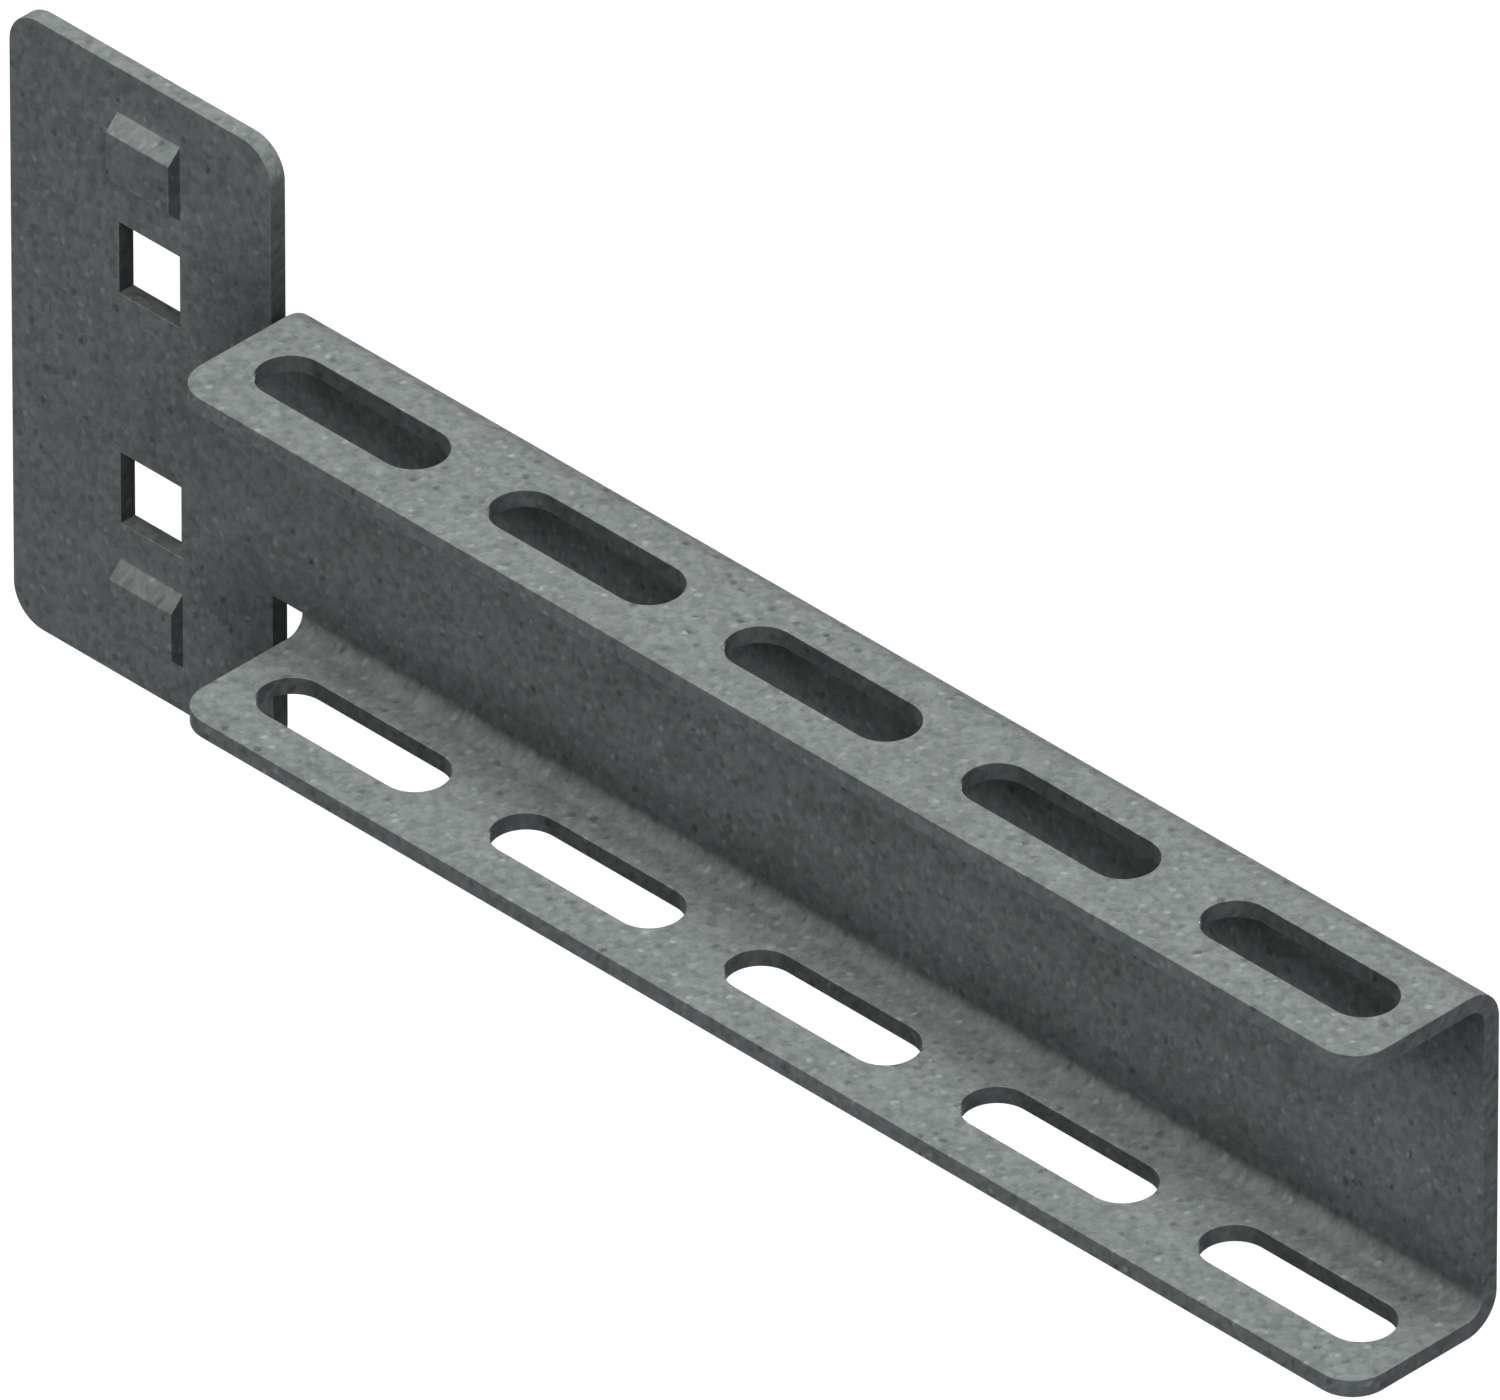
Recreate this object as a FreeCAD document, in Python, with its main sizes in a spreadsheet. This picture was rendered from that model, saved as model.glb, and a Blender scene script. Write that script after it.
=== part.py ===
import FreeCAD, Part
import math
import os

import Sketcher

# Cantilever strut arm: one galvanised steel sheet, punched flat and then folded along two lines.
# The plate at its left end bolts to an upright, and the channel reaches out from it along +X.
# Origin: on the plate's front face, midway between its two bolt holes. -Y points towards the
# upright and out of the channel's open mouth, and +Z is up. All sizes are in millimetres.

NODE = "arm"

# Driving sizes: name, value, meaning
SIZES = [
    ("sheet_thickness", 2.5, "thickness of the sheet"),
    ("bend_radius", 2.5, "radius inside each fold"),
    ("bolt_hole", 10.4, "side of a square bolt hole"),
    ("bolt_pitch", 34, "centre of one bolt hole to centre of the other"),
    ("lug_offset", 16, "centre of a bolt hole to centre of the lug beyond it"),
    ("lug_width", 10.8, "lug, one sheared side to the other"),
    ("lug_height", 10.8, "lug, foot of one slope to foot of the other"),
    ("lug_rise", 2, "how far a lug stands out of the plate"),
    ("lug_slope", 45, "angle between a lug's slope and the plate, in degrees"),
    ("plate_left", 24, "bolt holes' centre line to the plate's left edge"),
    ("plate_right", 21, "bolt holes' centre line to the plate's right edge"),
    ("plate_margin", 12, "centre of a lug to the plate's edge beyond it"),
    ("plate_corner", 5, "radius of the plate's corners"),
    ("relief_width", 5, "gap punched between the plate and each flange"),
    ("channel_length", 200, "channel, from the relief gap to its free end"),
    ("channel_height", 50, "channel, outside of one flange to outside of the other"),
    ("flange_depth", 22, "web's front face to a flange's free edge"),
    ("flange_corner", 5, "radius of a flange's free corners"),
    ("slot_length", 30, "slot, over its round ends"),
    ("slot_width", 9, "slot, side to side"),
    ("slot_gap", 10, "sheet left between two slots"),
    ("slot_margin", 5, "sheet left between a flange's end and the nearest slot"),
]

# Two places closer than this are the same place
TOUCHING = 0.001

# Lengths that follow from the driving sizes
HALF_HEIGHT = "(sizes.channel_height / 2)"
HALF_INSIDE = f"({HALF_HEIGHT} - sizes.sheet_thickness)"
OUTER_BEND = "(sizes.bend_radius + sizes.sheet_thickness)"
HALF_NECK = f"({HALF_HEIGHT} - {OUTER_BEND})"
CHANNEL_START = "(sizes.plate_right + sizes.relief_width)"
CHANNEL_END = f"({CHANNEL_START} + sizes.channel_length)"
BOLT_CENTRE = "(sizes.bolt_pitch / 2)"
LUG_CENTRE = f"({BOLT_CENTRE} + sizes.lug_offset)"
HALF_PLATE = f"({LUG_CENTRE} + sizes.plate_margin)"
SLOT_LINE = "-(sizes.flange_depth / 2)"
SLOT_FIRST = f"({CHANNEL_START} + sizes.slot_margin + sizes.slot_width / 2)"
SLOT_LAST = f"({SLOT_FIRST} + sizes.slot_length - sizes.slot_width)"
SLOT_PITCH = "(sizes.slot_length + sizes.slot_gap)"
SLOT_ROOM = "(sizes.channel_length - 2 * sizes.slot_margin + sizes.slot_gap)"
SLOT_COUNT = f"floor(({SLOT_ROOM} + {TOUCHING}) / {SLOT_PITCH})"

# A sketch numbers an edge's own points from one, and knows its own origin as minus one
START, END, CENTRE = range(1, 4)
ORIGIN = -1


def make_table(doc):
    """The table of driving sizes that every feature is tied to."""
    table = doc.addObject("Spreadsheet::Sheet", "sizes")
    for row, (name, size, meaning) in enumerate(SIZES, start=1):
        table.set(f"A{row}", meaning)
        table.set(f"B{row}", str(size))
        table.setAlias(f"B{row}", name)
    doc.recompute()


def size_of(feature, expression):
    """What an expression on the table comes to."""
    return float(feature.Document.sizes.evalExpression(expression))


def origin_feature(body, role):
    """One of the body's own origin planes or axes."""
    return next(f for f in body.Origin.OriginFeatures if f.Role == role)


def new_sketch(body, name, plane, offset=None):
    """A sketch on an origin plane, or parallel to it at an offset."""
    sketch = body.newObject("Sketcher::SketchObject", name)
    sketch.AttachmentSupport = [(origin_feature(body, plane), "")]
    sketch.MapMode = "FlatFace"
    if offset:
        sketch.setExpression(".AttachmentOffset.Base.z", offset)
    return sketch


def dimension(sketch, name, expression, kind, *where):
    """A named dimension of a sketch, tied to an expression on the table."""
    place = sketch.addConstraint(Sketcher.Constraint(kind, *where, size_of(sketch, expression)))
    sketch.renameConstraint(place, name)
    sketch.setExpression(f"Constraints.{name}", expression)


def at(x, y):
    """A point of a sketch."""
    return FreeCAD.Vector(x, y, 0)


def draw_outline(sketch, corners):
    """A closed outline of straight lines, each ending where the next one starts."""
    for here, there in zip(corners, corners[1:] + corners[:1]):
        sketch.addGeometry(Part.LineSegment(at(*here), at(*there)))
    for line in range(len(corners)):
        after = (line + 1) % len(corners)
        sketch.addConstraint(Sketcher.Constraint("Coincident", line, END, after, START))


def draw_walls(sketch, walls, rounded=None):
    """A closed outline of walls, by turns upright at a stated x and level at a stated y.

    rounded gives the radius of the corner that ends a wall, by that wall's number.
    """
    places = [size_of(sketch, wall) for wall in walls]
    corners = []
    for number, place in enumerate(places):
        before = places[number - 1]
        corners.append((before, place) if number % 2 else (place, before))
    draw_outline(sketch, corners)
    for number, radius in (rounded or {}).items():
        sketch.fillet(number, END, size_of(sketch, radius))
        dimension(sketch, f"corner_{number}", radius, "Radius", sketch.GeometryCount - 1)
    for number, wall in enumerate(walls):
        run, kind = ("Horizontal", "DistanceY") if number % 2 else ("Vertical", "DistanceX")
        sketch.addConstraint(Sketcher.Constraint(run, number))
        dimension(sketch, f"wall_{number}", wall, kind, ORIGIN, START, number, START)


def draw_corners(sketch, corners):
    """A closed outline of straight lines between corners, each at a stated x and y."""
    draw_outline(sketch, [(size_of(sketch, x), size_of(sketch, y)) for x, y in corners])
    for number, (x, y) in enumerate(corners):
        dimension(sketch, f"across_{number}", x, "DistanceX", ORIGIN, START, number, START)
        dimension(sketch, f"up_{number}", y, "DistanceY", ORIGIN, START, number, START)


def draw_slot(sketch, first, last, line, width):
    """A level slot whose round ends have their centres at a first and a last x on a line."""
    left, right, middle, wide = (size_of(sketch, size) for size in (first, last, line, width))
    radius, quarter, upwards = wide / 2, math.pi / 2, FreeCAD.Vector(0, 0, 1)
    low, high = middle - radius, middle + radius
    far_end = Part.Circle(at(right, middle), upwards, radius)
    near_end = Part.Circle(at(left, middle), upwards, radius)
    sketch.addGeometry(Part.LineSegment(at(left, low), at(right, low)))
    sketch.addGeometry(Part.ArcOfCircle(far_end, -quarter, quarter))
    sketch.addGeometry(Part.LineSegment(at(right, high), at(left, high)))
    sketch.addGeometry(Part.ArcOfCircle(near_end, quarter, 3 * quarter))
    for edge in range(4):
        after = (edge + 1) % 4
        sketch.addConstraint(Sketcher.Constraint("Tangent", edge, END, after, START))
    for line_edge in (0, 2):
        sketch.addConstraint(Sketcher.Constraint("Horizontal", line_edge))
    dimension(sketch, "last_centre", last, "DistanceX", ORIGIN, START, 1, CENTRE)
    dimension(sketch, "first_centre", first, "DistanceX", ORIGIN, START, 3, CENTRE)
    dimension(sketch, "centre_line", line, "DistanceY", ORIGIN, START, 1, CENTRE)
    dimension(sketch, "end_radius", f"{width} / 2", "Radius", 1)


def extrude(body, kind, name, sketch, length=None, both_ways=False, backwards=False):
    """A pad or pocket of a sketch's outline, right through the body if no length is given."""
    feature = body.newObject(f"PartDesign::{kind}", name)
    feature.Profile = sketch
    feature.SideType = "Symmetric" if both_ways else "One side"
    feature.Reversed = backwards
    if length:
        feature.setExpression("Length", length)
    else:
        feature.Type = "ThroughAll"
    return feature


def add_channel(body):
    """The channel: the web and the two flanges folded forwards from it."""
    section = new_sketch(body, "channel_section", "YZ_Plane", CHANNEL_START)
    back, front, free_edge = "sizes.sheet_thickness", "0", "-sizes.flange_depth"
    inside = "sizes.bend_radius"
    draw_walls(
        section,
        [back, HALF_HEIGHT, free_edge, HALF_INSIDE,
         front, f"-{HALF_INSIDE}", free_edge, f"-{HALF_HEIGHT}"],
        {0: OUTER_BEND, 3: inside, 4: inside, 7: OUTER_BEND},
    )
    extrude(body, "Pad", "channel", section, "sizes.channel_length")


def add_plate(body):
    """The plate, and the neck that joins it to the web between the two relief gaps."""
    outline = new_sketch(body, "plate_outline", "XZ_Plane")
    right, left, corner = "sizes.plate_right", "-sizes.plate_left", "sizes.plate_corner"
    draw_walls(
        outline,
        [right, HALF_NECK, CHANNEL_START, f"-{HALF_NECK}",
         right, f"-{HALF_PLATE}", left, HALF_PLATE],
        {4: corner, 5: corner, 6: corner, 7: corner},
    )
    return extrude(body, "Pad", "plate", outline, "sizes.sheet_thickness", backwards=True)


def round_flanges(body, sheet):
    """Rounds each flange's two free corners on the sheet made so far."""
    body.Document.recompute()
    ends = [size_of(body, CHANNEL_START), size_of(body, CHANNEL_END)]
    free_edge = size_of(body, "-sizes.flange_depth")
    corners = []
    for number, edge in enumerate(sheet.Shape.Edges, start=1):
        low, high = edge.firstVertex().Point, edge.lastVertex().Point
        upright = math.hypot(high.x - low.x, high.y - low.y) < TOUCHING
        at_end = min(abs(low.x - end) for end in ends) < TOUCHING
        if upright and at_end and abs(low.y - free_edge) < TOUCHING:
            corners.append(f"Edge{number}")
    fillet = body.newObject("PartDesign::Fillet", "flange_corners")
    fillet.Base = (sheet, corners)
    fillet.setExpression("Radius", "sizes.flange_corner")


def add_slots(body):
    """A slot through both flanges, and its copies along the channel while there is room."""
    outline = new_sketch(body, "slot_outline", "XY_Plane")
    draw_slot(outline, SLOT_FIRST, SLOT_LAST, SLOT_LINE, "sizes.slot_width")
    slot = extrude(body, "Pocket", "slot", outline, both_ways=True)
    row = body.newObject("PartDesign::LinearPattern", "slot_row")
    row.Originals = [slot]
    row.Direction = (origin_feature(body, "X_Axis"), [""])
    row.Mode = "Spacing"
    row.setExpression("Offset", SLOT_PITCH)
    row.setExpression("Occurrences", SLOT_COUNT)
    body.Tip = row


def lug_section(surface, half_height):
    """A lug's corners on one side of the sheet, from the foot of its lower slope upwards."""
    raised = f"{surface} - sizes.lug_rise"
    run = "sizes.lug_rise / tan(sizes.lug_slope)"
    return [
        (surface, f"{LUG_CENTRE} - {half_height}"),
        (raised, f"{LUG_CENTRE} - {half_height} + {run}"),
        (raised, f"{LUG_CENTRE} + {half_height} - {run}"),
        (surface, f"{LUG_CENTRE} + {half_height}"),
    ]


def add_fixings(body):
    """The upper square hole and the lug above it, and the same mirrored below."""
    half = "sizes.bolt_hole / 2"
    square = new_sketch(body, "bolt_hole_outline", "XZ_Plane")
    draw_walls(square, [half, f"{BOLT_CENTRE} + {half}", f"-{half}", f"{BOLT_CENTRE} - {half}"])
    hole = extrude(body, "Pocket", "bolt_hole", square, both_ways=True)

    # The slopes keep the sheet's thickness, so the recess behind is lower than the lug
    half_lug = "sizes.lug_height / 2"
    half_recess = f"({half_lug} - sizes.sheet_thickness * tan(sizes.lug_slope / 2))"
    face, width = new_sketch(body, "lug_section", "YZ_Plane"), "sizes.lug_width"
    draw_corners(face, lug_section("0", half_lug))
    lug = extrude(body, "Pad", "lug", face, width, both_ways=True)
    hollow = new_sketch(body, "lug_recess_section", "YZ_Plane")
    draw_corners(hollow, lug_section("sizes.sheet_thickness", half_recess))
    recess = extrude(body, "Pocket", "lug_recess", hollow, width, both_ways=True)

    lower = body.newObject("PartDesign::Mirrored", "lower_fixings")
    lower.Originals = [hole, lug, recess]
    lower.MirrorPlane = (origin_feature(body, "XY_Plane"), [""])
    body.Tip = lower


def check(doc, body):
    """Stops the run if a feature failed or cut nothing, or the body isn't one sound solid."""
    for feature in doc.Objects:
        if {"Invalid", "Error"} & set(feature.State):
            raise RuntimeError(f"{feature.Label} could not be made")
        if feature.isDerivedFrom("PartDesign::Pocket"):
            if feature.Shape.Volume > feature.BaseFeature.Shape.Volume - TOUCHING:
                raise RuntimeError(f"{feature.Label} points away from the sheet")
    if body.Shape.isNull() or not body.Shape.isValid() or len(body.Shape.Solids) != 1:
        raise RuntimeError(f"{body.Label} is not one sound solid")


def main():
    doc = FreeCAD.newDocument("cantilever_strut_arm")
    make_table(doc)
    arm = doc.addObject("PartDesign::Body", "arm_body")
    arm.Label = NODE
    add_channel(arm)
    sheet = add_plate(arm)
    round_flanges(arm, sheet)
    add_slots(arm)
    add_fixings(arm)
    doc.recompute()
    check(doc, arm)
    os.makedirs("parts", exist_ok=True)
    arm.Shape.exportStep(f"parts/{arm.Label}.step")
    box = arm.Shape.BoundBox
    print(f"{NODE}: {box.XLength:.2f} x {box.YLength:.2f} x {box.ZLength:.2f} mm,"
          f" {arm.Shape.Volume:.1f} cubic mm")


main()
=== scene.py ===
from math import cos, pi, radians, sin, tan

import bmesh
import bpy
import numpy as np
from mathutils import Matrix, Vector


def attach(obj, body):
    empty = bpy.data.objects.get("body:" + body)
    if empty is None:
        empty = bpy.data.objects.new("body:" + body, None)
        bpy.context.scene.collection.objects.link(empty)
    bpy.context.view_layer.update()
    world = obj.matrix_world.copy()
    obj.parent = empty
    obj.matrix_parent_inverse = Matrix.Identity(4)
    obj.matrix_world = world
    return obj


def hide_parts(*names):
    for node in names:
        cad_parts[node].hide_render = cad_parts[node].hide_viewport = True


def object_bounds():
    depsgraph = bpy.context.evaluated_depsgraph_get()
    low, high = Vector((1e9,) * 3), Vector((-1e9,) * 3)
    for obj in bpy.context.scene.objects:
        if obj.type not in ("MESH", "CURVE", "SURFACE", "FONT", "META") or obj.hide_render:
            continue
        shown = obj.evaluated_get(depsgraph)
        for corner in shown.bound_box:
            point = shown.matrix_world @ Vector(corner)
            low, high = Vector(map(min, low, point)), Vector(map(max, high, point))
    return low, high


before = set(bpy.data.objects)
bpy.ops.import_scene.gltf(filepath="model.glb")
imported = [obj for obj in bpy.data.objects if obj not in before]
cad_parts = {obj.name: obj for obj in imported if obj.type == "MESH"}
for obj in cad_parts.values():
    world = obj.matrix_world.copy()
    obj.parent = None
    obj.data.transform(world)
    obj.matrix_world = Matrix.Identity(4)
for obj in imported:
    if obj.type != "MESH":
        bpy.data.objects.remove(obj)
cadLow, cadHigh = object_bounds()
scene = bpy.context.scene
mm = 0.001  # metres in a millimetre
hair = 0.01  # how far past an edge a place still counts as lying on it
print("frame: the packed arm is loaded")

# The arm is drawn as the flat blank it is cut from, and then folded. x runs along the arm, and t up the
# sheet as it lay flat, from mid height. All lengths are in millimetres.
sheet = {
    "thickness": 2.5,
    "insideBend": 2.5,  # radius on the inside of each fold
    "cornerRadius": 5,  # corners of the plate and free corners of the flanges
    "cornerCells": 6,
    "foldCells": 12,
    "middleCells": 5,  # from mid height up to the bolt holes, on plate, neck and web alike
    "besideHoleCells": 4,  # and from there up to where the folds start
    "edgeWidth": 0.12,  # how far the punched edges are broken
    "edgeSegments": 2,
    "edgeAngle": 30,  # degrees: what turns by more is an edge
    "weld": 0.002,  # points nearer than this are one
}
plate = {
    "left": -24,  # from the bolt holes' centre line
    "right": 21,
    "halfHeight": 45,
    "holeCentre": 17,  # above and below mid height
    "holeSide": 10.4,
    "lugCentre": 33,
    "lugSide": 10.8,  # width, and height at the foot
    "lugRise": 2,
    "lugSlope": 45,  # degrees
    "leftCells": 6,
    "lugCells": 6,
    "rightCells": 5,
    "holeToLugCells": 3,
    "lugCellHeight": 2,  # a taller cell on a lug is cut in two
}
channel = {
    "start": 26,
    "halfHeight": 25,  # outside
    "depth": 22,  # from the web's front face to a flange's free edge
    "slotCount": 5,
    "slotPitch": 40,
    "slotLength": 30,
    "slotWidth": 9,
    "slotLine": 11,  # from the web's front face to the slots' centre line
    "neckCells": 3,
    "ringCells": 6,  # from a slot's edge to the edge of its own stretch of flange
    "straightCells": 20,  # along a slot's straight side
    "acrossCells": 8,  # across a flange, up to its free corners
}

webHalf = channel["halfHeight"] - sheet["thickness"] - sheet["insideBend"]  # where the folds start
foldRadius = sheet["insideBend"] + sheet["thickness"] / 2  # of the middle of the sheet
flangeStart = webHalf + foldRadius * pi / 2  # t where a fold ends and its flange starts
flangeEnd = flangeStart + channel["depth"] - sheet["insideBend"]
channelEnd = channel["start"] + channel["slotPitch"] * channel["slotCount"]


def gridLines(*spans):
    # Places along one axis: each span (start, end, cells) cut evenly
    runs = [np.linspace(start, end, cells, endpoint=False) for start, end, cells in spans]
    return np.concatenate(runs + [[spans[-1][1]]])


def gridFaces(rows, columns):
    # The quads of a grid of rows x columns points, turning anticlockwise with x to the right and t up
    corner = (np.arange(rows - 1)[:, None] * columns + np.arange(columns - 1)).ravel()
    return np.stack([corner, corner + 1, corner + columns + 1, corner + columns], 1)


def bothHalves(upper):
    # Lines from mid height up, and the same ones down
    return np.concatenate([-upper[:0:-1], upper])


def flatPoints(x, t):
    # Points of flat sheet: place on the blank, and how deep the front and the back lie
    front = np.zeros_like(x)
    return np.stack([x, t, front, front + sheet["thickness"]], -1).reshape(-1, 4)


def roundCorner(x, t, edgeX, outX, edgeT):
    # The square in a corner, as u and v from 0 inside to 1 at the edge, becomes a quarter circle:
    # u times the root of 1 - v*v/2, and v times the root of 1 - u*u/2
    radius = sheet["cornerRadius"]
    outT = np.sign(edgeT)
    centreX = edgeX - outX * radius
    centreT = edgeT - outT * radius
    u = (x - centreX) * outX / radius
    v = (t - centreT) * outT / radius
    inside = (u > 0) & (v > 0) & (u < 1 + hair) & (v < 1 + hair)
    newX = centreX + outX * radius * u * np.sqrt(1 - np.clip(v, 0, 1) ** 2 / 2)
    newT = centreT + outT * radius * v * np.sqrt(1 - np.clip(u, 0, 1) ** 2 / 2)
    return np.where(inside, newX, x), np.where(inside, newT, t)


def lugRise(t, half):
    # A ramp up from the lug's foot to a flat top: the distance in from the foot times the slope, and never
    # over the rise
    run = half - np.abs(np.abs(t) - plate["lugCentre"])
    return np.clip(run * tan(radians(plate["lugSlope"])), 0, plate["lugRise"])


def platePatch():
    # A plain grid. The lines beside the lugs are there twice, and the inner ones rise with the lug, so that
    # the cells between them are the lug's sheared sides. The cells inside the square holes are left out.
    left, right, top = plate["left"], plate["right"], plate["halfHeight"]
    hole = plate["holeSide"] / 2
    lug = plate["lugSide"] / 2
    recess = lug - sheet["thickness"] * tan(radians(plate["lugSlope"]) / 2)
    slope = plate["lugRise"] / tan(radians(plate["lugSlope"]))
    radius, cells = sheet["cornerRadius"], sheet["cornerCells"]
    holeLow, holeHigh = plate["holeCentre"] - hole, plate["holeCentre"] + hole
    outer = gridLines((left, left + radius, cells), (left + radius, -lug, plate["leftCells"]))
    middle = gridLines((-lug, lug, plate["lugCells"]))
    inner = gridLines((lug, right - radius, plate["rightCells"]), (right - radius, right, cells))
    columns = np.concatenate([outer, middle, inner])
    onLug = np.zeros(len(columns), bool)
    onLug[len(outer):len(outer) + len(middle)] = True

    feet = sorted([lug, recess, lug - slope, recess - slope])
    lugLines = [plate["lugCentre"] - foot for foot in reversed(feet)]
    lugLines += [plate["lugCentre"] + foot for foot in feet]
    spans = [(0, holeLow, sheet["middleCells"]), (holeLow, webHalf, sheet["besideHoleCells"])]
    spans += [(webHalf, holeHigh, 1), (holeHigh, lugLines[0], plate["holeToLugCells"])]
    for low, high in zip(lugLines, lugLines[1:]):
        spans.append((low, high, 1 + (high - low > plate["lugCellHeight"])))
    spans += [(lugLines[-1], top - radius, 1), (top - radius, top, cells)]

    x, t = np.meshgrid(columns, bothHalves(gridLines(*spans)))
    raised = np.broadcast_to(onLug, x.shape)
    # The lines at the lugs' sides close in to the holes' sides where they pass them
    side = np.interp(np.abs(t), [holeHigh, plate["lugCentre"] - lug], [hole, lug])
    x = np.where(np.abs(x) <= lug, x / lug * side, x)
    front = -lugRise(t, lug) * raised
    back = sheet["thickness"] - lugRise(t, recess) * raised
    for edge, out in ((left, -1), (right, 1)):
        for end in (-top, top):
            x, t = roundCorner(x, t, edge, out, end)

    faces = gridFaces(*x.shape)
    middleT = np.abs(t.ravel()[faces].mean(1))
    inHole = (middleT > holeLow) & (middleT < holeHigh) & raised.ravel()[faces].all(1)
    return np.stack([x, t, front, back], -1).reshape(-1, 4), faces[~inHole]


def alongSlot():
    # Lines along one slot's stretch of the channel, from its middle
    half, cells = channel["slotPitch"] / 2, sheet["cornerCells"]
    straight = half - sheet["cornerRadius"]
    middle = (-straight, straight, channel["straightCells"])
    return gridLines((-half, -straight, cells), middle, (straight, half, cells))


def slotMiddles():
    return channel["start"] + channel["slotPitch"] * (np.arange(channel["slotCount"]) + 0.5)


def webPatches():
    # The neck, and the web with both folds, as plain grids that meet the plate and the flanges line for line
    hole = plate["holeCentre"] - plate["holeSide"] / 2
    web = gridLines((0, hole, sheet["middleCells"]), (hole, webHalf, sheet["besideHoleCells"]))
    foldLines = gridLines((webHalf, flangeStart, sheet["foldCells"]))
    neckColumns = gridLines((plate["right"], channel["start"], channel["neckCells"]))
    webColumns = np.concatenate([middle + alongSlot()[:-1] for middle in slotMiddles()] + [[channelEnd]])
    patches = []
    for columns, upper in ((neckColumns, web), (webColumns, np.concatenate([web, foldLines[1:]]))):
        x, t = np.meshgrid(columns, bothHalves(upper))
        patches.append((flatPoints(x, t), gridFaces(*x.shape)))
    return patches


def slotPatch(middle, turn):
    # Rings from the edge of a slot's stretch of flange in to the slot. A point is the mean of the rectangle
    # and of the slot's outline at the same step of the way round, weighted by how far in its ring lies.
    along = alongSlot()
    radius, cells = sheet["cornerRadius"], sheet["cornerCells"]
    corner = flangeEnd - radius
    across = gridLines((flangeStart, corner, channel["acrossCells"]), (corner, flangeEnd, cells))
    sideCells = len(across) - 1
    outerX = np.concatenate([along[:-1], np.full(sideCells, along[-1])])
    outerX = np.concatenate([outerX, -outerX])
    outerT = np.concatenate([np.full(len(along) - 1, flangeStart), across[:-1]])
    outerT = np.concatenate([outerT, np.full(len(along) - 1, flangeEnd), across[:0:-1]])

    # Half of the slot's outline, as run along its middle line plus radius times the angle's cosine and sine:
    # from the diagonal at the left end along the lower side to the diagonal at the right end, and up it
    end = channel["slotWidth"] / 2  # radius of a slot's round ends
    straight = channel["slotLength"] / 2 - end
    sideRun = gridLines((-straight, straight, channel["straightCells"]))
    leftTurn = gridLines((-0.75 * pi, -0.5 * pi, cells))
    sideTurn = np.full(channel["straightCells"], -0.5 * pi)
    endTurn = gridLines((-0.25 * pi, 0.25 * pi, sideCells))
    run = np.concatenate([np.full(cells, -straight), sideRun, np.full(cells - 1 + sideCells, straight)])
    angle = np.concatenate([leftTurn[:-1], sideTurn, -pi - leftTurn[:0:-1], endTurn[:-1]])
    centreT = flangeStart - sheet["insideBend"] + channel["slotLine"]
    innerX = run + end * np.cos(angle)
    innerT = end * np.sin(angle)
    innerX = np.concatenate([innerX, -innerX])
    innerT = centreT + np.concatenate([innerT, -innerT])

    inward = np.linspace(0, 1, channel["ringCells"] + 1)[:, None]
    x = outerX + (innerX - outerX) * inward
    t = outerT + (innerT - outerT) * inward
    x, t = (np.concatenate([place, place[:, :1]], 1) for place in (x, t))  # each ring ends where it starts
    x, t = middle + turn * x, turn * t
    for edge, out in ((channel["start"], -1), (channelEnd, 1)):
        x, t = roundCorner(x, t, edge, out, turn * flangeEnd)
    return flatPoints(x, t), gridFaces(*x.shape)


def fold(x, t, depth):
    # A point this deep under the front of the flat sheet. Past the web the sheet turns round a centre in
    # front of it: the angle is the length past the web over the fold's middle radius, up to a right angle,
    # and what is left runs on forwards.
    onChannel = x > plate["right"] + hair
    past =np.where(onChannel, np.maximum(np.abs(t) - webHalf, 0), 0)
    angle = np.minimum(past / foldRadius, pi / 2)
    radius = sheet["insideBend"] + depth
    y = radius * np.cos(angle) - sheet["insideBend"] - np.maximum(past - foldRadius * pi / 2, 0)
    z = np.sign(t) * (np.abs(t) - past + radius * np.sin(angle))
    return np.stack([x, y, z], -1) * mm


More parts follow.
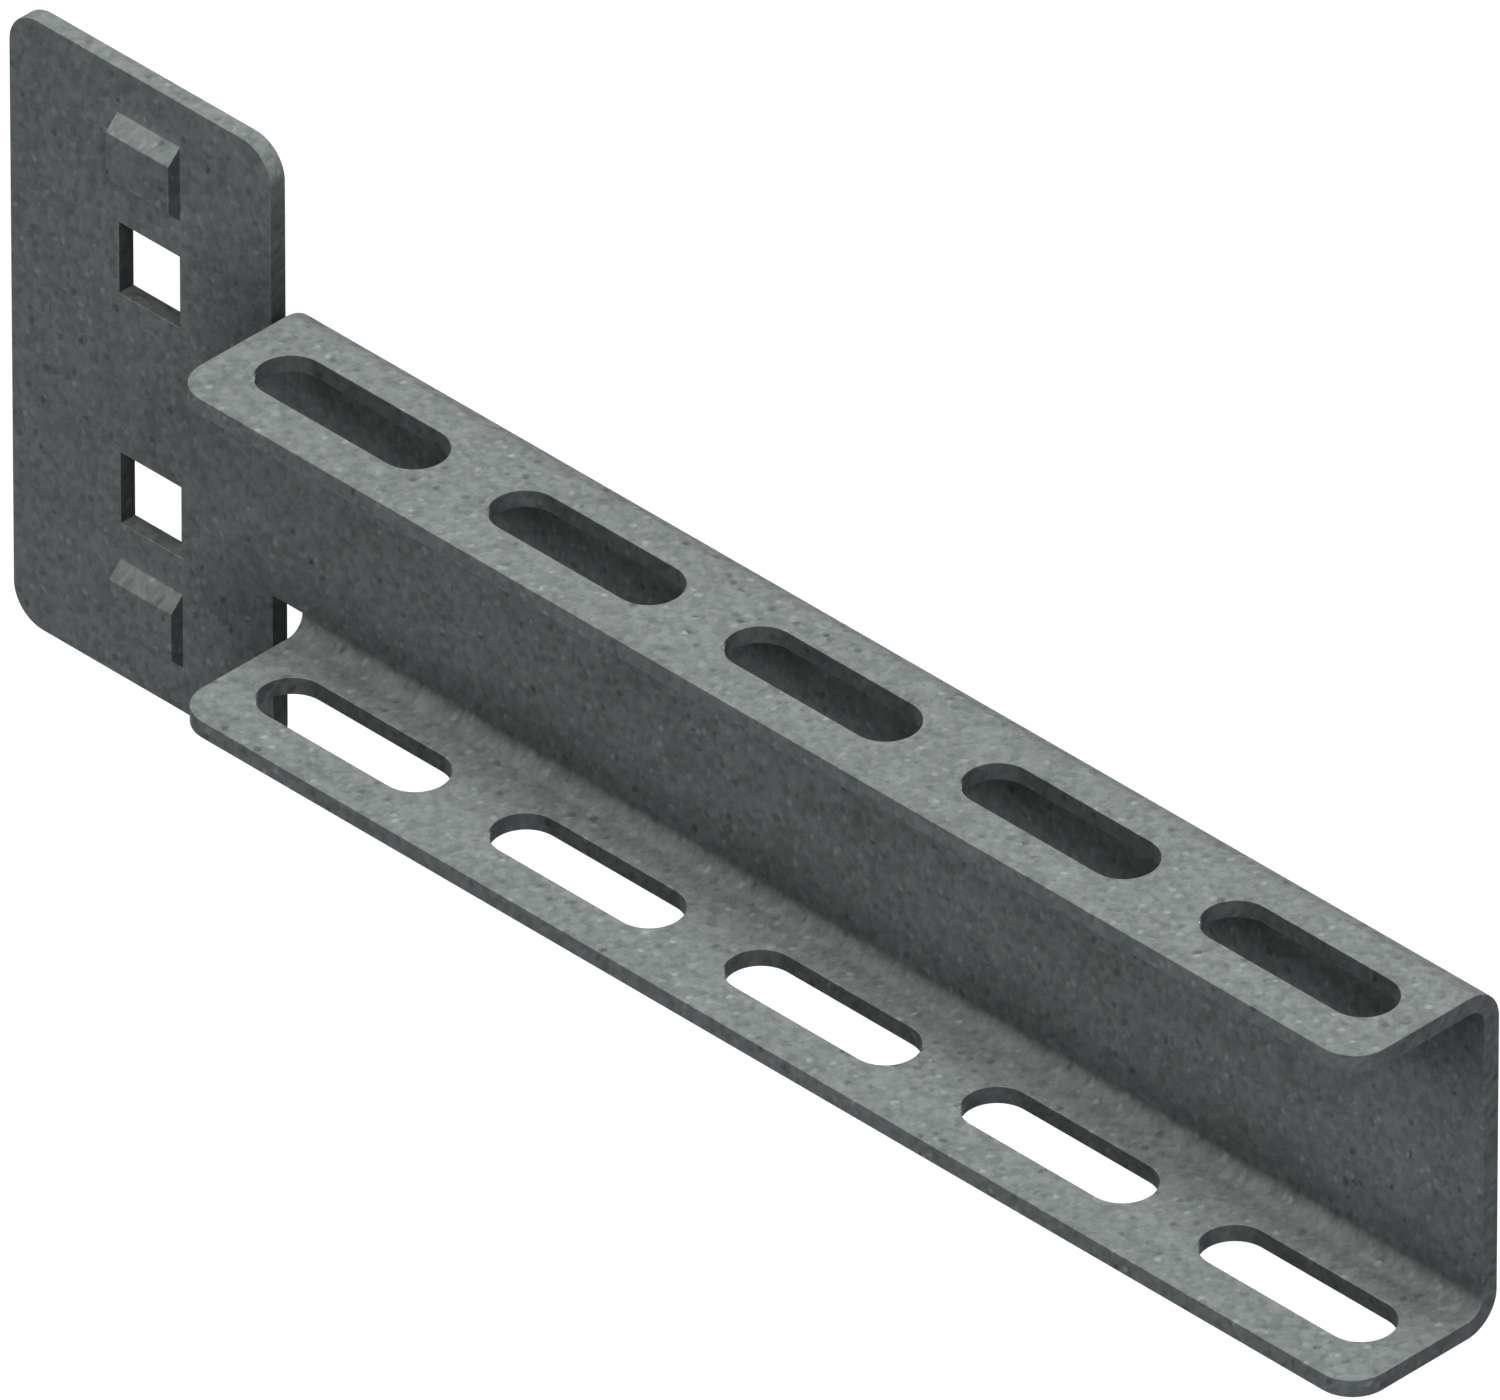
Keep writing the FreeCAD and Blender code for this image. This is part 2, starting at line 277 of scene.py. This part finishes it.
# Painted shade, here and there painted light: how much of its light each place keeps, besides painted corner
# shade
paintedShades = {
    "holeFront": 0.32,  # painted shade down the square holes' walls, from the plate's front
    "holeBack": 0.18,  # to its back
    "upperHole": 0.82,  # painted shade, times this in one hole
    "lowerHole": 1.06,  # and this in the other
    "slotSide": 0.5,  # painted shade round a slot's walls, from its straight sides
    "slotEnd": 0.93,  # to its ends
    "edgeHeights": (-45, -40, -36, -34, -30, -27, -24, -22, -21, -20, 25, 43),  # painted shade up the plate's right edge
    "edgeShades": (1, 0.5, 0.42, 0.42, 0.2, 0.1, 0.16, 0.26, 0.5, 0.58, 0.58, 1),
    # painted shade on the lugs' sides, on the lower lug's upper slope and on the upper lug
    "upperLugSide": 0.54,
    "lowerLugSide": 0.46,
    "upperLug": 0.945,
    "lowerLugTop": 0.72,
    "besideLug": 1.12,  # painted light on the plate left of a lug and below it, where the lug's own shadow falls
    "besideLugReach": (3.4, 0.6, 1.8),  # to the left, downwards, and beyond both until it is gone
    "gapTop": (20.5, 17),  # x and z of the darkest painted shade beside the flanges' ends
    "gapBottom": (21, -27),
    "gapShade": 0.59,
    "gapReach": (5, 16),  # from all of that shade to none
    "webHeights": (-20, -19.5, -18, -16, -13.85, -12, 2, 11),  # painted shade up the web's front
    "webShades": (0.89, 0.91, 0.86, 0.91, 0.98, 1, 1, 0.83),
    "endHeights": (-16, -8, 5, 9, 12, 17, 21),  # times these at its free end, painted shade and painted light
    "endShades": (1, 0.94, 0.92, 1, 1.12, 1.25, 1),
    "endReach": (204, 219),  # from none of that to all
    "insideTurns": (0, 11, 23, 34, 46, 57, 69, 80, 90),  # painted shade, by degrees from the web round the lower fold's inside
    "insideShades": (0.89, 0.89, 0.885, 0.835, 0.84, 0.85, 0.91, 0.99, 1),
    "outsideTurns": (11, 49, 65, 75, 85),  # and painted shade round the outside of both folds
    "outsideShades": (1, 0.82, 0.82, 0.92, 1),
    "openFrom": 24,  # from here to the left, ever less painted shade in corners
    "openTo": 14,
    "skin": 0.2,  # what lies nearer than this to one of the sheet's faces is part of it
}


def meshNumbers(items, name, width, kind=float):
    # One property of all items of a mesh, as an array with a row for each of its numbers
    numbers = np.empty(len(items) * width, kind)
    items.foreach_get(name, numbers)
    return numbers.reshape(-1, width).T


def pastSlotMiddle(x):
    # How far along its slot a place is from the slot's middle
    return np.abs((x - channel["start"]) % channel["slotPitch"] - channel["slotPitch"] / 2)


def shadedFaces(mesh):
    # The faces of each place that has painted shade or painted light of its own, picked by where their
    # centres lie
    skin, thickness, outside = paintedShades["skin"], sheet["thickness"], channel["halfHeight"]
    x, y, z = meshNumbers(mesh.polygons, "center", 3) / mm
    level = np.abs(z)
    onChannel = x > channel["start"]
    onPlate = x < plate["right"]
    inSheet = (y > skin) & (y < thickness - skin)
    halfHole = plate["holeSide"] / 2 + skin
    slot = (pastSlotMiddle(x) < channel["slotLength"] / 2 + skin) & onChannel
    slot &= np.abs(y + channel["slotLine"]) < channel["slotWidth"] / 2 + skin
    slot &= (level < outside - skin) & (level > outside - thickness + skin)
    slopes = (y < -skin) & (y > skin - plate["lugRise"]) & onPlate
    lugSide = slopes & (np.abs(np.abs(x) - plate["lugSide"] / 2) < skin)
    web = (y < skin) & onChannel & (z > paintedShades["webHeights"][0]) & (z < outside - thickness + skin)
    inFold = onChannel & (y > -sheet["insideBend"]) & (level > webHalf)
    fromCentre = np.hypot(y + sheet["insideBend"], level - webHalf)
    return {
        "hole": (np.abs(x) < halfHole) & (np.abs(level - plate["holeCentre"]) < halfHole) & inSheet,
        "slot": slot,
        "rightEdge": (np.abs(x - plate["right"]) < skin) & (level > webHalf) & inSheet,
        "lugSide": lugSide,
        "lowerLugTop": slopes & ~lugSide & (z < 0) & (z > -plate["lugCentre"]),
        "upperLug": (y < -skin) & ~lugSide & onPlate & (z > 0),
        "plateFront": (np.abs(y) < skin) & (x < plate["right"] - skin),
        "otherFront": (y < skin) & (x < channel["start"]),
        "foldInside": inFold & (fromCentre < sheet["insideBend"] + skin) & (z < 0),
        "web": web,
        "foldOutside": inFold & (fromCentre > sheet["insideBend"] + thickness - skin),
    }


def shadeMesh(mesh):
    # Two numbers for every corner of every face: the painted shade, the light that place keeps (painted
    # light where above 1), and cornerShare, how much it takes of the painted shade in corners. The painted
    # shade goes down a square hole from front to back, round a slot from its sides to its ends, up the
    # plate's edge and the web by height, round the folds by angle, and over the plate by how far the
    # flanges' ends and the lugs are.
    # Elsewhere it is 1.
    faces = shadedFaces(mesh)
    corners = meshNumbers(mesh.loops, "vertex_index", 1, int)[0]
    x, y, z = meshNumbers(mesh.vertices, "co", 3)[:, corners] / mm
    hole = np.interp(y, [0, sheet["thickness"]], [paintedShades["holeFront"], paintedShades["holeBack"]])
    hole *= np.where(z > 0, paintedShades["upperHole"], paintedShades["lowerHole"])
    slotHalf = channel["slotLength"] / 2
    slotReach = [slotHalf - channel["slotWidth"] / 2, slotHalf]
    slot = np.interp(pastSlotMiddle(x), slotReach, [paintedShades["slotSide"], paintedShades["slotEnd"]])
    gaps = [np.hypot(x - paintedShades[name][0], z - paintedShades[name][1]) for name in ("gapTop", "gapBottom")]
    front = np.interp(np.minimum(*gaps), paintedShades["gapReach"], [paintedShades["gapShade"], 1])
    toLeft, down, fade = paintedShades["besideLugReach"]
    left = np.abs(x + toLeft / 2) - (plate["lugSide"] + toLeft) / 2
    below = np.abs(np.abs(z + down / 2) - plate["lugCentre"]) - (plate["lugSide"] + down) / 2
    away = np.hypot(np.maximum(left, 0), np.maximum(below, 0))
    web = np.interp(z, paintedShades["webHeights"], paintedShades["webShades"])
    end = np.interp(z, paintedShades["endHeights"], paintedShades["endShades"])
    web *= 1 + np.interp(x, paintedShades["endReach"], [0, 1]) * (end - 1)
    turned = np.degrees(np.arctan2(np.abs(z) - webHalf, y + sheet["insideBend"]))
    values = {
        "hole": hole,
        "slot": slot,
        "rightEdge": np.interp(z, paintedShades["edgeHeights"], paintedShades["edgeShades"]),
        "lugSide": np.where(z > 0, paintedShades["upperLugSide"], paintedShades["lowerLugSide"]),
        "lowerLugTop": paintedShades["lowerLugTop"],
        "upperLug": paintedShades["upperLug"],
        "plateFront": front * np.interp(away, [0, fade], [paintedShades["besideLug"], 1]),
        "otherFront": front,
        "foldInside": np.interp(turned, paintedShades["insideTurns"], paintedShades["insideShades"]),
        "web": web,
        "foldOutside": np.interp(turned, paintedShades["outsideTurns"], paintedShades["outsideShades"]),
    }
    sides = meshNumbers(mesh.polygons, "loop_total", 1, int)[0]
    chosen = [np.repeat(faces[name], sides) for name in values]  # the first that fits a face holds
    shade = np.select(chosen, list(values.values()), 1)
    share = np.interp(x, [paintedShades["openTo"], paintedShades["openFrom"]], [0, 1])
    for name, numbers in (("paintedShade", shade), ("cornerShare", share)):
        mesh.attributes.new(name, "FLOAT", "CORNER").data.foreach_set("value", numbers)


def makeArm():
    patches = [platePatch(), *webPatches()]
    patches += [slotPatch(middle, turn) for middle in slotMiddles() for turn in (1, -1)]
    starts = np.cumsum([0] + [len(places) for places, cells in patches[:-1]])
    points = np.concatenate([places for places, cells in patches])
    faces = np.concatenate([cells + start for start, (places, cells) in zip(starts, patches)])

    # Points that agree to a ten-thousandth of a millimetre are one. Between the doubled lines away from the
    # lugs that leaves cells without any area, which go.
    same =np.unique(np.round(points, 4), axis=0, return_inverse=True)[1].ravel()
    welded = same[faces]
    flat = (welded[:, 0] == welded[:, 1]) & (welded[:, 2] == welded[:, 3])
    faces = faces[~flat]

    # The rim stands on every edge that only one face uses
    edges = np.stack([faces, np.roll(faces, -1, 1)], -1).reshape(-1, 2)
    ends = same[edges]
    key = ends[:, 0] * len(points) + ends[:, 1]
    twin = ends[:, 1] * len(points) + ends[:, 0]
    rim = edges[~np.isin(key, twin) & (ends[:, 0] != ends[:, 1])]
    behind = len(points)
    rimFaces = np.stack([rim[:, 1], rim[:, 0], rim[:, 0] + behind, rim[:, 1] + behind], 1)

    x, t, front, back = points.T
    places = np.concatenate([fold(x, t, front), fold(x, t, back)])
    allFaces = np.concatenate([faces, faces[:, ::-1] + behind, rimFaces])
    used, numbered = np.unique(allFaces, return_inverse=True)  # a point inside a square hole isn't
    mesh = bpy.data.meshes.new("strut_arm")
    mesh.from_pydata(places[used].tolist(), [], numbered.reshape(allFaces.shape).tolist())
    body = bmesh.new()
    body.from_mesh(mesh)
    bmesh.ops.remove_doubles(body, verts=body.verts, dist=sheet["weld"] * mm)
    body.to_mesh(mesh)
    body.free()
    mesh.shade_smooth()
    shadeMesh(mesh)
    arm = bpy.data.objects.new("strut_arm", mesh)
    scene.collection.objects.link(arm)
    edge = arm.modifiers.new("broken_edges", "BEVEL")
    edge.width = sheet["edgeWidth"] * mm
    edge.segments = sheet["edgeSegments"]
    edge.limit_method = "ANGLE"
    edge.angle_limit = radians(sheet["edgeAngle"])
    edge.harden_normals = True
    return arm


arm = makeArm()
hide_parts("arm")
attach(arm, "root")
print("arm:", len(arm.data.vertices), "points,", len(arm.data.polygons), "faces")

# Hot-dip zinc: small soft grey flakes, and a dark or a light fleck here and there. Sizes in millimetres.
zinc = {
    "colour": (0.2445, 0.2695, 0.2545),
    "greenTint": (0.98, 1.008, 1.0),  # the zinc's two faint casts
    "warmTint": (1.015, 0.993, 0.995),
    "castChange": (0.4, 0.6),  # values of the grain between which one cast turns into the other
    "lean": (-43, 0, -24),  # degrees: which way the flakes are drawn out
    "length": 1.45,  # of a flake, against its width
    "flake": 1.0,
    "cloud": 4,
    "cloudDetail": 3,
    "grain": 0.9,  # how many grains lie in a millimetre
    "grainDetail": 4,
    "grainRoughness": 0.65,
    "wander": 1.1,  # how far the grain pushes the edges of flakes and flecks about
    "fleckGap": 1.6,
    "darkFleckRadius": 0.64,
    "lightFleckRadius": 0.52,
    "darkShare": 0.4,  # of all flecks
    "fleckCore": 0.45,  # share of a fleck's radius that has its full depth
    "flakeContrast": 0.26,
    "cloudContrast": 0.3,
    "grainContrast": 0.95,
    "darkFleck": 0.4,  # how much the darkest and the lightest fleck change the shade
    "lightFleck": 0.52,
    "roughness": 0.58,
    "roughnessSpread": 0.06,
    "shadeSpread": (0.8, 1.2),  # shades of the zinc that are the roughest and the smoothest
    "gloss": 0.06,
    "relief": 0.01,
    "cornerReach": 15,  # how far out of a corner its painted shade reaches
    "paintedCornerShade": 1.6,
    "cornerSamples": 6,
}


def addNode(tree, kind, inputs=None, **settings):
    made = tree.nodes.new("ShaderNode" + kind)
    for name, value in settings.items():
        setattr(made, name, value)
    for name, value in (inputs or {}).items():
        if isinstance(value, bpy.types.NodeSocket):
            tree.links.new(value, made.inputs[name])
        else:
            made.inputs[name].default_value = value
    return made


def maths(tree, operation, *values):
    return addNode(tree, "Math", dict(enumerate(values)), operation=operation).outputs[0]


def mixColours(tree, share, first, second):
    return addNode(tree, "Mix", {0: share, 6: first, 7: second}, data_type="RGBA").outputs[2]


def ramp(tree, value, low, high, start, end, kind="SMOOTHSTEP"):
    # From start at low to end at high
    sockets = {"Value": value, "From Min": low, "From Max": high, "To Min": start, "To Max": end}
    return addNode(tree, "MapRange", sockets, interpolation_type=kind).outputs[0]


def makeMottle():
    group = bpy.data.node_groups.new("zinc mottle", "ShaderNodeTree")
    group.interface.new_socket("Place", in_out="INPUT", socket_type="NodeSocketVector")
    for name in ("Flake Size", "Contrast", "Flecks"):
        group.interface.new_socket(name, in_out="INPUT", socket_type="NodeSocketFloat")
    for name in ("Shade", "Cast", "Height"):
        group.interface.new_socket(name, in_out="OUTPUT", socket_type="NodeSocketFloat")
    given = group.nodes.new("NodeGroupInput").outputs
    place = addNode(group, "Mapping", {
        "Vector": given["Place"],
        "Rotation": [radians(angle) for angle in zinc["lean"]],
        "Scale": (mm, mm, mm * zinc["length"]),
    }, vector_type="TEXTURE").outputs[0]

    # Fine noise pushes the places about, so that the edges of flakes and flecks wander
    noise = addNode(group, "TexNoise", {
        "Vector": place,
        "Scale": zinc["grain"],
        "Detail": zinc["grainDetail"],
        "Roughness": zinc["grainRoughness"],
    })
    centring = {0: noise.outputs["Color"], 1: (0.5, 0.5, 0.5)}
    push = addNode(group, "VectorMath", centring, operation="SUBTRACT").outputs[0]
    pushing = {0: push, 1: (zinc["wander"],) * 3, 2: place}
    pushed = addNode(group, "VectorMath", pushing, operation="MULTIPLY_ADD").outputs[0]
    flakeScale = maths(group, "DIVIDE", 1, given["Flake Size"])
    flakes = addNode(group, "TexVoronoi", {"Vector": pushed, "Scale": flakeScale})
    flake = addNode(group, "SeparateColor", {"Color": flakes.outputs["Color"]}).outputs[0]
    clouds = {"Vector": place, "Scale": 1 / zinc["cloud"], "Detail": zinc["cloudDetail"]}
    cloud = addNode(group, "TexNoise", clouds).outputs[0]
    grain = noise.outputs[0]
    total = 1
    for value, share in ((flake, "flakeContrast"), (cloud, "cloudContrast"), (grain, "grainContrast")):
        centred = maths(group, "SUBTRACT", value, 0.5)
        part = maths(group, "MULTIPLY", centred, maths(group, "MULTIPLY", given["Contrast"], zinc[share]))
        total = maths(group, "ADD", total, part)

    # One fleck a cell, from large and dark to small and light, most of them faint
    cells = addNode(group, "TexVoronoi", {"Vector": pushed, "Scale": 1 / zinc["fleckGap"]})
    chance = addNode(group, "SeparateColor", {"Color": cells.outputs["Color"]}).outputs[1]
    largest = zinc["darkFleckRadius"] / zinc["fleckGap"]
    smallest = zinc["lightFleckRadius"] / zinc["fleckGap"]
    radius = ramp(group, chance, 0, 1, largest, smallest, "LINEAR")
    outward = maths(group, "DIVIDE", cells.outputs["Distance"], radius)
    shape = ramp(group, outward, zinc["fleckCore"], 1, 1, 0)
    dark = ramp(group, chance, 0, zinc["darkShare"], -zinc["darkFleck"], 0, "LINEAR")
    light = ramp(group, chance, zinc["darkShare"], 1, 0, zinc["lightFleck"], "LINEAR")
    depth = maths(group, "MULTIPLY", maths(group, "ADD", dark, light), given["Flecks"])
    total = maths(group, "ADD", total, maths(group, "MULTIPLY", depth, shape))

    out = group.nodes.new("NodeGroupOutput")
    group.links.new(total, out.inputs["Shade"])
    group.links.new(ramp(group, grain, *zinc["castChange"], 0, 1), out.inputs["Cast"])
    group.links.new(cloud, out.inputs["Height"])


def makeZinc(name):
    # The mottle's shade times the mesh's own painted shade times painted shade in corners: how open the
    # place is, from an ambient occlusion node, to a power that its cornerShare sets
    material = bpy.data.materials.new(name)
    material.use_nodes = True
    tree = material.node_tree
    shader = tree.nodes["Principled BSDF"]
    place = addNode(tree, "TexCoord").outputs["Object"]
    values = {"Place": place, "Flake Size": zinc["flake"], "Contrast": 1, "Flecks": 1}
    mottle = addNode(tree, "Group", values, node_tree=bpy.data.node_groups["zinc mottle"]).outputs
    tints = [(*(np.array(zinc["colour"]) * zinc[tint]), 1) for tint in ("greenTint", "warmTint")]
    colour = mixColours(tree, mottle["Cast"], *tints)
    # painted shade in corners, multiplied into the colour below
    reach = {"Distance": zinc["cornerReach"] * mm}
    corner = addNode(tree, "AmbientOcclusion", reach, samples=zinc["cornerSamples"])
    wall = addNode(tree, "Attribute", attribute_name="paintedShade")
    share = addNode(tree, "Attribute", attribute_name="cornerShare")
    power = maths(tree, "MULTIPLY", share.outputs["Fac"], zinc["paintedCornerShade"])
    shade = maths(tree, "POWER", corner.outputs["AO"], power)
    shade = maths(tree, "MULTIPLY", shade, wall.outputs["Fac"])
    shade = maths(tree, "MULTIPLY", shade, mottle["Shade"])
    shaded = addNode(tree, "VectorMath", {0: colour, 3: shade}, operation="SCALE").outputs[0]
    tree.links.new(shaded, shader.inputs["Base Color"])
    roughest = zinc["roughness"] + zinc["roughnessSpread"]
    smoothest = zinc["roughness"] - zinc["roughnessSpread"]
    roughness = ramp(tree, mottle["Shade"], *zinc["shadeSpread"], roughest, smoothest)
    tree.links.new(roughness, shader.inputs["Roughness"])
    shader.inputs["Specular IOR Level"].default_value = zinc["gloss"]
    bump = addNode(tree, "Bump", {"Distance": zinc["relief"] * mm, "Height": mottle["Height"]})
    tree.links.new(bump.outputs[0], shader.inputs["Normal"])
    return material


makeMottle()
arm.data.materials.append(makeZinc("galvanised_steel"))
print("zinc: finish made")

# The photo's view: the camera looks down the diagonal of a cube, from so far off that it hardly converges
view = {
    "imageWidth": 1500,
    "pixelsPerMillimetre": 8.338,
    "lens": 1500,
    "sensor": 36,
    "centre": (113.45, -10.81, 16.24),  # what the middle of the picture looks at
    "depth": 66,  # along the view, where that scale holds
    "clip": (1, 20),  # metres
}


def makeCamera():
    back = Vector((1, -1, 1)).normalized()
    data = bpy.data.cameras.new("camera")
    data.lens = view["lens"]
    data.sensor_width = view["sensor"]
    data.sensor_fit = "HORIZONTAL"
    data.clip_start, data.clip_end = view["clip"]
    distance = view["imageWidth"] / view["pixelsPerMillimetre"] * view["lens"] / view["sensor"]
    centre = Vector(view["centre"])
    place = centre + back * (distance + view["depth"] - centre.dot(back))
    camera = bpy.data.objects.new("camera", data)
    camera.location = place * mm
    camera.rotation_mode = "QUATERNION"
    camera.rotation_quaternion = (-back).to_track_quat("-Z", "Y")
    scene.collection.objects.link(camera)
    scene.camera = camera


makeCamera()
scene.view_settings.view_transform = "Standard"
print("camera: in place")

# A pale floor under the arm, which hangs as high as it would on an upright, soft light from all round, and
# four lamps
studio = {
    "floorDrop": 0.4,  # metres below the arm
    "floorSide": 3,
    "floorColour": (0.8, 0.8, 0.8, 1),
    "floorRoughness": 0.9,
    "floorBounce": (0.085, 0.085, 0.092, 1),  # what the floor sends back up, a little of the lamps' light
    "floorWhite": 0.3,  # what the floor shows on top of the light on it
    "worldFill": (0.04, 0.04, 0.043, 1),
    "white": (1, 1, 1, 1),
}
lamps = {
    # azimuth from the front towards the right, elevation, strength, width in degrees, whether it casts
    # shadows, and its blue
    "top": (0, 90, 0.68, 4, False, 1),
    "front": (0, 30, 0.174, 20, True, 1.075),
    "quarter": (60, 40, 0.25, 25, True, 1.13),
    "back": (205, -30, 0.29, 10, False, 1.09),  # from below, for the sides that the photo hides
}


def seenRays(tree):
    # 1 for what the camera, a mirror or clear glass sees
    path = addNode(tree, "LightPath").outputs
    seen = maths(tree, "MAXIMUM", path["Is Camera Ray"], path["Is Glossy Ray"])
    return maths(tree, "MAXIMUM", seen, path["Is Transmission Ray"])


def makeWorld():
    world = bpy.data.worlds.new("studio")
    scene.world = world
    world.use_nodes = True
    tree = world.node_tree
    tree.nodes.clear()
    fill = addNode(tree, "Background", {"Color": studio["worldFill"]})
    white = addNode(tree, "Background", {"Color": studio["white"]})
    mix = addNode(tree, "MixShader", {0: seenRays(tree), 1: fill.outputs[0], 2: white.outputs[0]})
    addNode(tree, "OutputWorld", {"Surface": mix.outputs[0]})


def makeFloor():
    half = studio["floorSide"] / 2
    middle = (cadLow + cadHigh) / 2
    level = cadLow.z - studio["floorDrop"]
    signs = ((-1, -1), (1, -1), (1, 1), (-1, 1))
    corners = [(middle.x + across * half, middle.y + along * half, level) for across, along in signs]
    mesh = bpy.data.meshes.new("floor")
    mesh.from_pydata(corners, [], [(0, 1, 2, 3)])
    floor = bpy.data.objects.new("floor", mesh)
    scene.collection.objects.link(floor)
    material = bpy.data.materials.new("floor")
    material.use_nodes = True
    tree = material.node_tree
    shader = tree.nodes["Principled BSDF"]
    seen = seenRays(tree)
    colour = mixColours(tree, seen, studio["floorBounce"], studio["floorColour"])
    tree.links.new(colour, shader.inputs["Base Color"])
    shader.inputs["Roughness"].default_value = studio["floorRoughness"]
    shader.inputs["Specular IOR Level"].default_value = 0
    strength = maths(tree, "MULTIPLY", seen, studio["floorWhite"])
    glow = addNode(tree, "Emission", {"Color": studio["white"], "Strength": strength})
    both = addNode(tree, "AddShader", {0: shader.outputs[0], 1: glow.outputs[0]})
    # Clear from below, so that the arm's underside can be looked at
    side = addNode(tree, "NewGeometry").outputs["Backfacing"]
    clear = addNode(tree, "BsdfTransparent")
    whole = addNode(tree, "MixShader", {0: side, 1: both.outputs[0], 2: clear.outputs[0]})
    tree.links.new(whole.outputs[0], tree.nodes["Material Output"].inputs["Surface"])
    mesh.materials.append(material)


def makeLamp(name, azimuth, elevation, strength, width, shadow, blue):
    turn, rise = radians(azimuth), radians(elevation)
    direction = Vector((sin(turn) * cos(rise), -cos(turn) * cos(rise), sin(rise)))
    data = bpy.data.lights.new(name, "SUN")
    data.energy = strength * pi  # a sun of pi lights a face that it meets squarely to its own colour
    data.angle = radians(width)
    data.use_shadow = shadow
    data.color = (1, 1, blue)
    lamp = bpy.data.objects.new(name, data)
    lamp.rotation_mode = "QUATERNION"
    lamp.rotation_quaternion = direction.to_track_quat("Z", "Y")
    scene.collection.objects.link(lamp)


makeWorld()
makeFloor()
for name, settings in lamps.items():
    makeLamp(name, *settings)
print("studio: floor, world and lamps")
